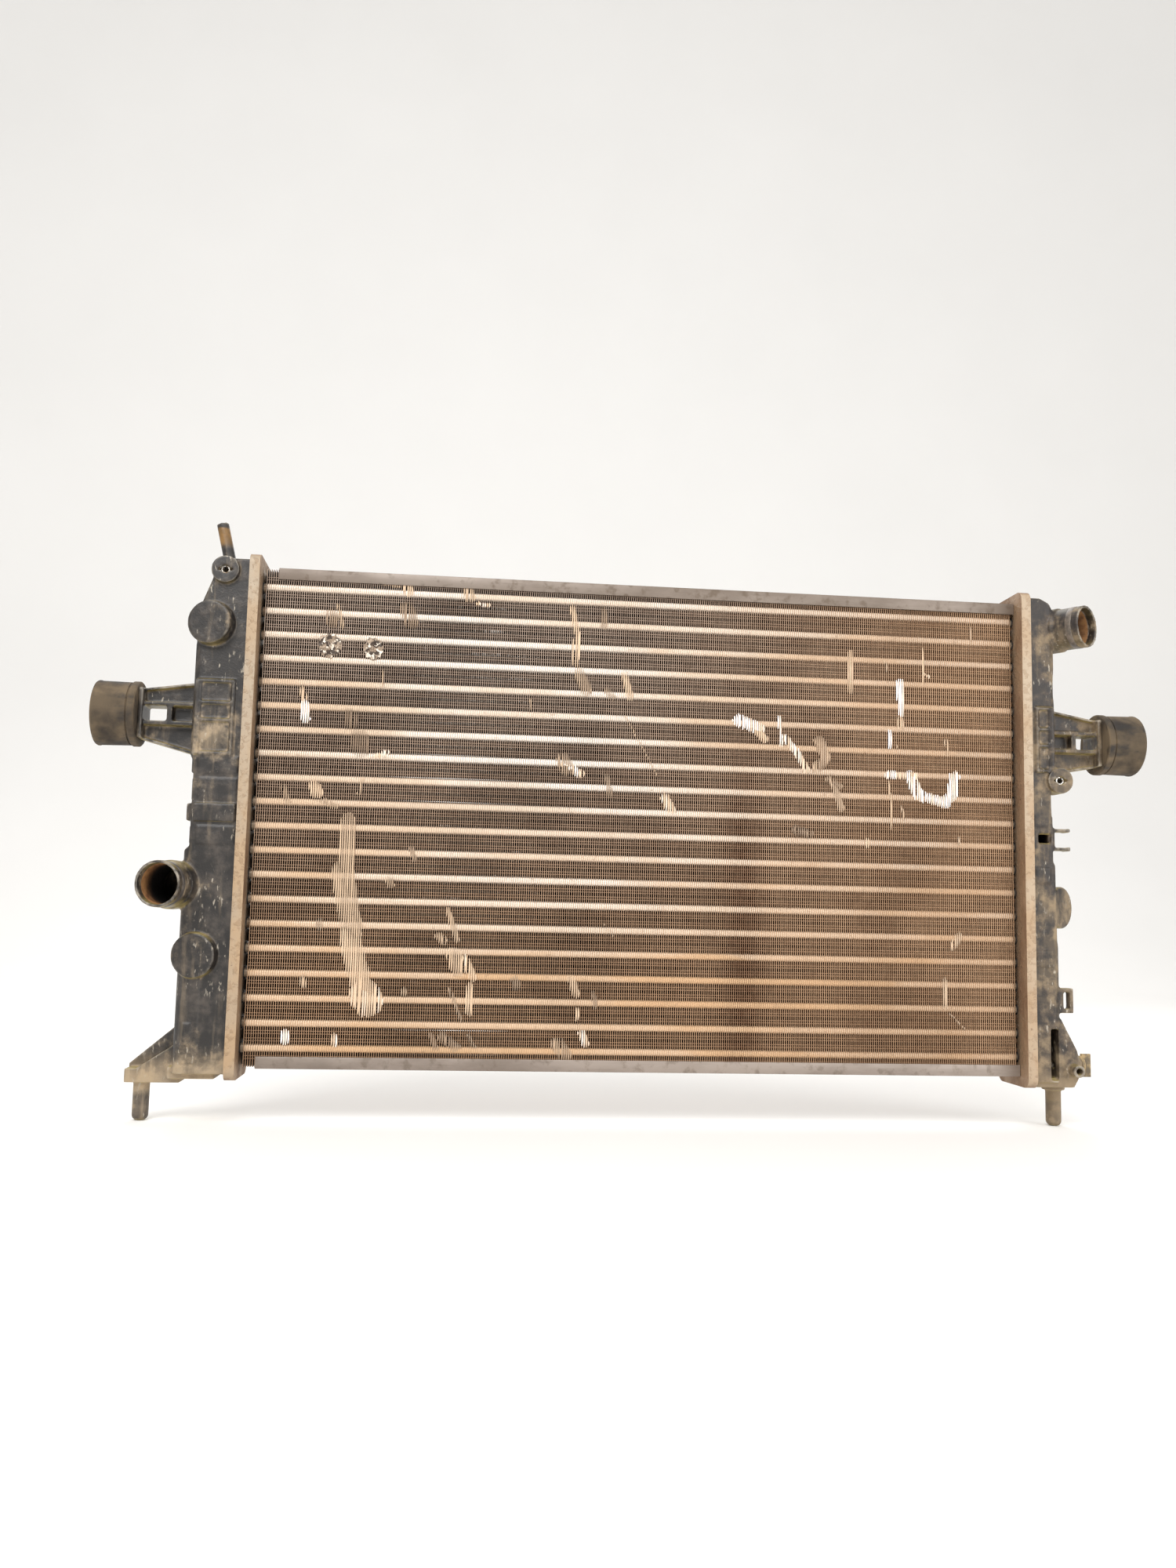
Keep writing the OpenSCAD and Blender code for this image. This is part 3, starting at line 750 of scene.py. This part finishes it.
shred = shreds.add(
    "GeometryNodeMeshCube",
    {},
    {
        "Size": shreds.triple(shreds.given("Width"), 0.00014, shreds.given("Length")),
        "Vertices X": 2,
        "Vertices Y": 2,
        "Vertices Z": 3,
    },
)
thrown = shreds.add(
    "FunctionNodeRandomValue",
    {"data_type": "FLOAT_VECTOR"},
    {"Min": (-0.7, -1.5, -1.0), "Max": (0.7, 1.5, 1.0), "Seed": shreds.given("Seed")},
)
shred_set = shreds.add(
    "GeometryNodeInstanceOnPoints", {}, {"Points": scattered, "Instance": shred, "Rotation": thrown}
)
shreds.finish_with(shred_set, shreds.given("Metal"))
for number, (pit_x, pit_z) in enumerate(((0.1250, 0.3336), (0.1584, 0.3330))):
    route = bpy.data.curves.new(f"pit_line_{number}", "CURVE")
    route.dimensions = "3D"
    spline = route.splines.new("POLY")
    spline.points.add(1)
    for point, dz in zip(spline.points, (0.0032, -0.0032)):
        point.co = (pit_x, fin_low.y - 0.0003, pit_z + dz, 1)
    tuft = shreds.grow(f"shreds_{number + 1}", route, Seed=number)
    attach(tuft, "radiator")

# ---------------------------------------------------------------- side plates
# A channel folded from thin aluminium sheet lies on the fins at the top and at
# the bottom, between the two headers. It is dull, with marks from handling.


def rounded_copy(node, name, width):
    """A node's mesh with its loose triangles joined and its edges rounded."""
    mesh = nodes[node].data.copy()
    shell = bmesh.new()
    shell.from_mesh(mesh)
    bmesh.ops.remove_doubles(shell, verts=shell.verts, dist=0.000002)
    bmesh.ops.dissolve_limit(shell, angle_limit=math.radians(1), verts=shell.verts, edges=shell.edges)
    shell.to_mesh(mesh)
    shell.free()
    mesh.materials.clear()
    copy = bpy.data.objects.new(name, mesh)
    bpy.context.scene.collection.objects.link(copy)
    edge = copy.modifiers.new("edges", "BEVEL")
    edge.width, edge.segments, edge.limit_method = width, 2, "ANGLE"
    edge.angle_limit = math.radians(38)
    bpy.context.view_layer.update()
    shown = copy.evaluated_get(bpy.context.evaluated_depsgraph_get())
    baked = bpy.data.meshes.new_from_object(shown)
    copy.modifiers.clear()
    copy.data = baked
    for face in baked.polygons:
        face.use_smooth = True
    baked.set_sharp_from_angle(angle=math.radians(35))
    return copy


plate_finish = Finish("dull_folded_sheet", 0.15, 0.5)
smear = plate_finish.grain(0.03, 5, (0.35, 1, 1)).rise(0.35, 0.7)
scratch = plate_finish.grain(0.0016, 3, (0.04, 1, 1)).rise(0.55, 0.75)
soil = plate_finish.grain(0.008, 4, shift=5.0).rise(0.52, 0.7)
plate_finish.wear(
    colour=plate_finish.blend(
        plate_finish.blend(rgb(150, 138, 128), rgb(118, 106, 96), smear),
        rgb(92, 78, 64),
        soil * 0.5 + scratch * 0.15 + plate_finish.z.rise(0.2, 0.3) * 0.35,
    ),
    roughness=smear * 0.2 + 0.36,
)
plate_finish.relief(scratch * 0.5 + smear, 0.00012)
for name in ("top_side_plate", "bottom_side_plate"):
    plate = rounded_copy(name, name + "_sheet", 0.0004)
    plate_finish.on(plate)
    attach(plate, "radiator")
    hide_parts(name)

# ---------------------------------------------------------------- headers
# A pressed aluminium pan at each end of the core holds the tubes' ends, and
# its rim is rolled over the tank's foot all round. Road salt and dust have
# left a cream to tan crust on it, and its sides that turn away from the front
# are painted darker as shade.


def header_finish(name, face, shaded_wall, rust):
    """Crusted sheet with painted shade: face is the front band's colour, and the second pair the core
    side's, painted darker as the shade on surfaces that turn away from the front.
    """
    crust_and_shade = Finish(name, 0.15, 0.6)
    # Painted shade: surfaces that turn away from the front take the darker core-side colours.
    front = 1 - crust_and_shade.back.rise(-0.85, -0.5)
    patch = crust_and_shade.grain(0.022, 5, (1, 1, 0.5)).rise(0.42, 0.62)
    flake = crust_and_shade.grain(0.0035, 4, shift=2.0).rise(0.5, 0.64)
    spot = crust_and_shade.grain(0.0028, 3, shift=7.0).rise(0.66, 0.74)
    down = 1 - crust_and_shade.z.rise(0.02, 0.36)
    tone = crust_and_shade.blend(
        crust_and_shade.blend(shaded_wall[0], shaded_wall[1], patch),
        crust_and_shade.blend(face[0], face[1], patch * 0.5 + down * 0.4),
        front,
    )
    crust_and_shade.wear(
        colour=crust_and_shade.blend(crust_and_shade.blend(tone, rust, flake * 0.4), rgb(74, 56, 42), spot * 0.55),
        roughness=patch * 0.2 + 0.5,
    )
    crust_and_shade.relief(flake * 0.5 + patch * 0.5, 0.0005)
    return crust_and_shade


left_crust_and_shade = header_finish(
    "left_header_crust",
    (rgb(160, 144, 124), rgb(170, 142, 110)),
    (rgb(152, 128, 102), rgb(118, 94, 72)),
    rgb(132, 106, 80),
)
right_crust_and_shade = header_finish(
    "right_header_crust",
    (rgb(172, 154, 132), rgb(170, 142, 112)),
    (rgb(146, 120, 95), rgb(124, 97, 74)),
    rgb(142, 116, 90),
)
for side, crust_and_shade in (("left", left_crust_and_shade), ("right", right_crust_and_shade)):
    pan = rounded_copy(f"{side}_header_plate", f"{side}_header_pan", 0.0006)
    crust_and_shade.on(pan)
    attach(pan, "radiator")
    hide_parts(f"{side}_header_plate")

# ---------------------------------------------------------------- gaskets
# A sheet of black rubber with a collar for each tube lies in each pan. The
# rolled rim presses the tank's foot on to it, and it seals tubes and tank.
gasket_finish = Finish("gasket_rubber", 0.0, 0.7)
bloom = gasket_finish.grain(0.004, 3).rise(0.4, 0.7)
gasket_finish.wear(colour=gasket_finish.blend(rgb(34, 31, 29), rgb(74, 62, 50), bloom * 0.6))
gasket_finish.relief(gasket_finish.grain(0.0015, 2), 0.00006)
gasket_finish.on(nodes["left_gasket"], nodes["right_gasket"])

# ---------------------------------------------------------------- tanks
# Two tanks moulded in dark glass-filled nylon, each with its necks, arm and
# peg in one piece. Soft mould edges, settled dust, scuffs and dried splashes.


def store_bulge(mesh):
    """Keeps on each vertex how far the skin bulges there; hollows are below 0."""
    spots, ways = (numpy.empty(len(mesh.vertices) * 3) for _ in range(2))
    mesh.vertices.foreach_get("co", spots)
    mesh.vertices.foreach_get("normal", ways)
    spots, ways = spots.reshape(-1, 3), ways.reshape(-1, 3)
    pairs = numpy.empty(len(mesh.edges) * 2, dtype=int)
    mesh.edges.foreach_get("vertices", pairs)
    ones, others = pairs.reshape(-1, 2).T
    reach = spots[others] - spots[ones]
    reach /= numpy.linalg.norm(reach, axis=1)[:, None] + 1e-9
    near = numpy.bincount(pairs, minlength=len(spots)).clip(1)
    count = len(spots)
    bulge = numpy.bincount(ones, -(reach * ways[ones]).sum(1), count)
    bulge = (bulge + numpy.bincount(others, (reach * ways[others]).sum(1), count)) / near
    for _ in range(3):
        shared = numpy.bincount(ones, bulge[others], count)
        shared = shared + numpy.bincount(others, bulge[ones], count)
        bulge = bulge * 0.4 + shared / near * 0.6
    mesh.attributes.new("bulge", "FLOAT", "POINT").data.foreach_set("value", bulge)


def moulded_copy(node, name, cell, keep):
    """A node's shape with every edge melted a little, as a mould leaves it."""
    mesh = nodes[node].data.copy()
    shell = bmesh.new()
    shell.from_mesh(mesh)
    bmesh.ops.remove_doubles(shell, verts=shell.verts, dist=0.000002)
    shell.to_mesh(mesh)
    shell.free()
    mesh.materials.clear()
    copy = bpy.data.objects.new(name, mesh)
    bpy.context.scene.collection.objects.link(copy)
    skin = copy.modifiers.new("skin", "REMESH")
    skin.mode, skin.voxel_size, skin.use_smooth_shade = "VOXEL", cell, True
    melt = copy.modifiers.new("melt", "SMOOTH")
    melt.factor, melt.iterations = 0.5, 4
    thin = copy.modifiers.new("thin", "DECIMATE")
    thin.ratio = keep
    bpy.context.view_layer.update()
    shown = copy.evaluated_get(bpy.context.evaluated_depsgraph_get())
    baked = bpy.data.meshes.new_from_object(shown)
    copy.modifiers.clear()
    copy.data = baked
    for face in baked.polygons:
        face.use_smooth = True
    store_bulge(baked)
    return copy


def plastic_finish(name, dust_share, dust, dark):
    """Moulded plastic in two dark tones under more or less dust, in two more."""
    skin = Finish(name, 0.0, 0.5)
    bulge = skin.add("ShaderNodeAttribute", {"attribute_name": "bulge"}, {}, "Fac")
    cloud = skin.grain(0.045, 6, rough=0.65).rise(0.6 - dust_share * 0.22, 0.74 - dust_share * 0.22)
    mottle = skin.grain(0.012, 5, shift=4.0, rough=0.6).rise(0.4, 0.72)
    streak = skin.grain(0.006, 4, (1, 1, 0.12), 8.0).rise(0.5, 0.74)
    uneven = skin.grain(0.009, 4, shift=12.0).rise(0.36, 0.64)
    worn = bulge.rise(0.05, 0.16) * uneven
    packed = (bulge * -1.0).rise(0.03, 0.12) * (uneven * 0.6 + 0.4)
    lying = abs(skin.up).rise(0.5, 0.95) * (1 - skin.z.rise(0.31, 0.34) * 0.7)
    low = (1 - skin.z.rise(-0.005, 0.035)) * (skin.z.rise(-0.012, -0.002) * 0.7 + 0.3)
    tip = skin.z.rise(0.410, 0.416) * (1 - skin.z.rise(0.4255, 0.4275))
    settled = cloud * (mottle * 0.4 + 0.35) + mottle * 0.3 * dust_share
    settled = settled + low * 0.75 + streak * 0.3 + packed * 0.55
    scuff = skin.grain(0.0025, 3, (1.0, 1.0, 0.35), 1.5).rise(0.6, 0.7)
    chalk = skin.grain(0.03, 3, shift=6.0).rise(0.48, 0.62)
    base = skin.blend(dark[0], dark[1], mottle)
    powder = skin.blend(dust[0], dust[1], skin.grain(0.02, 4, shift=9.0))
    dusty = skin.blend(base, powder, settled.rise(0.0, 1.05))
    clayey = skin.blend(dusty, rgb(158, 140, 88), lying * (uneven * 0.5 + 0.35))
    clayey = skin.blend(clayey, rgb(132, 98, 52), tip * (uneven * 0.4 + 0.5))
    skin.wear(
        colour=skin.blend(clayey, rgb(172, 162, 146), scuff * chalk * 0.75 + worn * 0.6),
        roughness=settled.rise(0.0, 1.0) * 0.3 + 0.42,
    )
    skin.relief(skin.grain(0.0014, 2) * 0.4 + mottle * 0.6, 0.0003)
    return skin


left_plastic = plastic_finish(
    "left_tank_nylon",
    0.35,
    (rgb(136, 124, 108), rgb(172, 148, 114)),
    (rgb(36, 33, 31), rgb(68, 62, 57)),
)
right_plastic = plastic_finish(
    "right_tank_nylon",
    0.8,
    (rgb(112, 98, 80), rgb(150, 130, 102)),
    (rgb(36, 30, 26), rgb(68, 57, 48)),
)
for side, skin in (("left", left_plastic), ("right", right_plastic)):
    tank = moulded_copy(f"{side}_tank", f"{side}_tank_moulding", 0.0009, 0.4)
    skin.on(tank)
    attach(tank, "radiator")
    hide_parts(f"{side}_tank")

# ---------------------------------------------------------------- hose necks
# Two nylon necks moulded with the tanks take the hoses. Coolant has left a
# rusty coat inside each, painted darker further in, to black, as the shade deep
# in the bore, and each neck's rim is a paler ring.


def turned(name, outline, place, axis):
    """A closed ring turned from an outline of (radius, distance along axis)."""
    steps = 96
    spin = Vector((0, 0, 1)).rotation_difference(Vector(axis)).to_matrix().to_4x4()
    put = Matrix.Translation(place) @ spin
    shell = bmesh.new()
    rings = []
    for k in range(steps):
        a = 2 * math.pi * k / steps
        rings.append(
            [
                shell.verts.new(put @ Vector((r * math.cos(a), r * math.sin(a), d)))
                for r, d in outline
            ]
        )
    for k in range(steps):
        this, following = rings[k], rings[(k + 1) % steps]
        for i in range(len(outline)):
            j = (i + 1) % len(outline)
            shell.faces.new((this[i], following[i], following[j], this[j]))
    bmesh.ops.recalc_face_normals(shell, faces=shell.faces)
    mesh = bpy.data.meshes.new(name)
    shell.to_mesh(mesh)
    shell.free()
    for face in mesh.polygons:
        face.use_smooth = True
    mesh.set_sharp_from_angle(angle=math.radians(40))
    piece = bpy.data.objects.new(name, mesh)
    bpy.context.scene.collection.objects.link(piece)
    return piece


mounts = {mount["name"]: mount for mount in frame["record"]["mounts"]}
for name, deep, rim_tones in (
    ("hose_lower", 0.040, (rgb(66, 62, 60), rgb(98, 92, 86))),
    ("hose_upper", 0.034, (rgb(84, 76, 68), rgb(122, 110, 98))),
):
    mouth = mounts[name]
    out = Vector(mouth["axis"]).normalized()
    tip = Vector(mouth["pos_m"]) + out * (mouth["dims"]["length_mm"] / 2000)
    lining = turned(
        name + "_lining",
        [(0.01495, -0.0014), (0.01452, -0.0030), (0.01452, -deep), (0.01495, -deep)],
        tip,
        out,
    )
    rust = Finish(name + "_rust", 0.0, 0.8)
    reach = rust.add(
        "ShaderNodeVectorMath",
        {"operation": "DOT_PRODUCT"},
        {0: rust.place, 1: tuple(out)},
        "Value",
    )
    # Painted shade: the rust is painted darker further into the bore, to near black.
    depth_in = tip.dot(out) - reach
    scale = rust.grain(0.008, 4).rise(0.35, 0.7)
    rust.wear(
        colour=rust.blend(
            rust.blend(rgb(160, 116, 74), rgb(104, 70, 44), scale),
            rgb(20, 14, 11),
            depth_in.rise(0.002, deep * 0.5),
        )
    )
    rust.relief(scale, 0.0002)
    rust.on(lining)
    ring = turned(
        name + "_rim",
        [
            (0.01494, -0.0020), (0.01496, -0.0003), (0.01530, 0.0001), (0.01660, 0.0001),
            (0.01704, -0.0003), (0.01720, -0.0012), (0.01720, -0.0050), (0.01700, -0.0054),
            (0.01640, -0.0012),
        ],
        tip,
        out,
    )
    # The rim is coloured paler than the tank and given less roughness.
    pale_rim = Finish(name + "_polish", 0.0, 0.4)
    ringed = pale_rim.grain(0.005, 4).rise(0.35, 0.7)
    pale_rim.wear(colour=pale_rim.blend(*rim_tones, ringed), roughness=ringed * 0.2 + 0.35)
    pale_rim.relief(ringed, 0.0001)
    pale_rim.on(ring)
    for piece in (lining, ring):
        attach(piece, "radiator")

# ---------------------------------------------------------------- rubber mounts
# A rubber cup is pushed over each arm's stud and sits in the car's bracket.
# The rubber has gone tan with dust, its side that faces the front is painted darker as shade, and a
# groove runs next to its inner flange.
rubber_finish = Finish("dusty_rubber", 0.0, 0.75)
coat = rubber_finish.grain(0.03, 5).rise(0.3, 0.62)
blot = rubber_finish.grain(0.012, 4, (0.5, 1, 1), 7.0).rise(0.5, 0.68)
# Painted shade: surfaces that face the front are painted darker.
front_side_shade = 1 - abs(rubber_finish.back + 0.95).rise(0.02, 0.12)
rubber_finish.wear(
    colour=rubber_finish.blend(
        rubber_finish.blend(rgb(44, 38, 33), rgb(104, 89, 69), coat),
        rgb(28, 24, 21),
        blot * 0.6 + front_side_shade * 0.35,
    ),
    roughness=0.85 - blot * 0.2,
)
rubber_finish.relief(coat * 0.6 + rubber_finish.grain(0.0015, 2) * 0.4, 0.00025)
for side, sign in (("left", -1), ("right", 1)):
    low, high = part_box(f"{side}_rubber_mount")
    inner, outer = (high.x, low.x) if side == "left" else (low.x, high.x)
    length = abs(outer - inner)
    radius = (high.z - low.z) / 2
    cup = turned(
        f"{side}_rubber_cup",
        [
            # inner flange and the groove beside it
            (0.0101, 0.0), (radius - 0.0008, 0.0), (radius, 0.0008), (radius, 0.0047),
            (radius - 0.0006, 0.0054), (radius - 0.0016, 0.0056), (radius - 0.0016, 0.0064),
            # wall and the bead at its outer end
            (radius - 0.0008, 0.0068), (radius - 0.0006, length * 0.5),
            (radius - 0.0004, length - 0.0034), (radius, length - 0.0026),
            (radius, length - 0.0016), (radius - 0.0006, length - 0.0005), (radius - 0.0018, length),
            # outer end, a shallow ring round a flat middle
            (radius - 0.0080, length - 0.0002), (radius - 0.0086, length - 0.0016),
            (0.0060, length - 0.0016), (0.0052, length - 0.0004), (0.0002, length - 0.0004),
            # the stud's seat inside
            (0.0002, length - 0.0040), (0.0101, length - 0.0040),
        ],
        (inner, (low.y + high.y) / 2, (low.z + high.z) / 2),
        (sign, 0, 0),
    )
    rubber_finish.on(cup)
    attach(cup, "radiator")
    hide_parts(f"{side}_rubber_mount")

# ---------------------------------------------------------------- cowl sleeves
# A sleeve rolled from zinc-plated sheet is sprung into the round eye on each
# tank, and it takes the screw that holds the fan's cowl.
sleeve_finish = Finish("zinc_sleeve", 0.85, 0.35)
tarnish = sleeve_finish.grain(0.002, 3).rise(0.4, 0.65)
sleeve_finish.wear(
    colour=sleeve_finish.blend(rgb(196, 194, 190), rgb(128, 108, 84), tarnish),
    roughness=tarnish * 0.3 + 0.25,
)
sleeve_finish.on(nodes["left_cowl_clip"], nodes["right_cowl_clip"])

# ---------------------------------------------------------------- drain screw
# A moulded plastic thumb screw is screwed into the housing at the right
# tank's foot, and a rubber ring under its head seals the drain.
seal_finish = Finish("seal_rubber", 0.0, 0.5)
speck = seal_finish.grain(0.001, 2)
seal_finish.wear(colour=seal_finish.blend(rgb(24, 22, 21), rgb(44, 38, 32), speck))
seal_finish.on(nodes["drain_seal"])

knob_finish = Finish("dusty_drain_plastic", 0.0, 0.6)
grime = knob_finish.grain(0.006, 4).rise(0.35, 0.65)
knob_finish.wear(
    colour=knob_finish.blend(rgb(94, 82, 64), rgb(168, 144, 104), grime),
    roughness=grime * 0.2 + 0.55,
)
knob_finish.relief(grime, 0.0002)
knob = rounded_copy("drain_screw", "drain_thumb_screw", 0.0004)
knob_finish.on(knob)
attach(knob, "drain_screw")
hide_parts("drain_screw")

# ---------------------------------------------------------------- studio
# The radiator stands on a pale paper floor that curves up into a wall behind
# it, under three large soft lights and an even, slightly warm sky.
floor_z = cad_box[0].z
bend_y, bend_radius, bend_steps = 1.6, 1.2, 12
sweep = [(-6.0, 0.0), (bend_y, 0.0)]
for k in range(1, bend_steps + 1):
    a = math.pi / 2 * k / bend_steps
    sweep.append((bend_y + bend_radius * math.sin(a), bend_radius - bend_radius * math.cos(a)))
sweep.append((bend_y + bend_radius, 6.0))
cove = bmesh.new()
edges = [[cove.verts.new((x, y, floor_z + z)) for y, z in sweep] for x in (-6.0, 7.0)]
for i in range(len(sweep) - 1):
    cove.faces.new((edges[0][i], edges[1][i], edges[1][i + 1], edges[0][i + 1]))
cove_mesh = bpy.data.meshes.new("studio_cove")
cove.to_mesh(cove_mesh)
cove.free()
for face in cove_mesh.polygons:
    face.use_smooth = True
studio = bpy.data.objects.new("studio_cove", cove_mesh)
bpy.context.scene.collection.objects.link(studio)
paper = Finish("pale_paper", 0.0, 0.9)
paper.wear(colour=paper.blend(rgb(244, 243, 241), rgb(238, 237, 235), paper.grain(0.4, 2)))
paper.on(studio)

for name, spot, size, watts, aim in (
    ("key", (-0.4, -1.7, 1.8), 1.6, 46, (0.37, 0.0, 0.2)),
    ("fill", (1.9, -1.6, 0.8), 1.6, 20, (0.45, 0.0, 0.2)),
    ("rim", (0.4, 1.4, 1.8), 1.6, 20, (0.37, 0.1, 0.2)),
):
    lamp = bpy.data.lights.new(name, "AREA")
    lamp.shape, lamp.size, lamp.energy = "SQUARE", size, watts
    bulb = bpy.data.objects.new(name, lamp)
    bulb.location = spot
    bulb.rotation_euler = (Vector(aim) - Vector(spot)).to_track_quat("-Z", "Y").to_euler()
    bpy.context.scene.collection.objects.link(bulb)
sky = bpy.data.worlds.new("sky")
sky.use_nodes = True
sky.node_tree.nodes["Background"].inputs["Color"].default_value = (1.0, 0.985, 0.965, 1)
sky.node_tree.nodes["Background"].inputs["Strength"].default_value = 0.75
bpy.context.scene.world = sky
bpy.context.scene.view_settings.view_transform = "Standard"

bpy.context.view_layer.update()
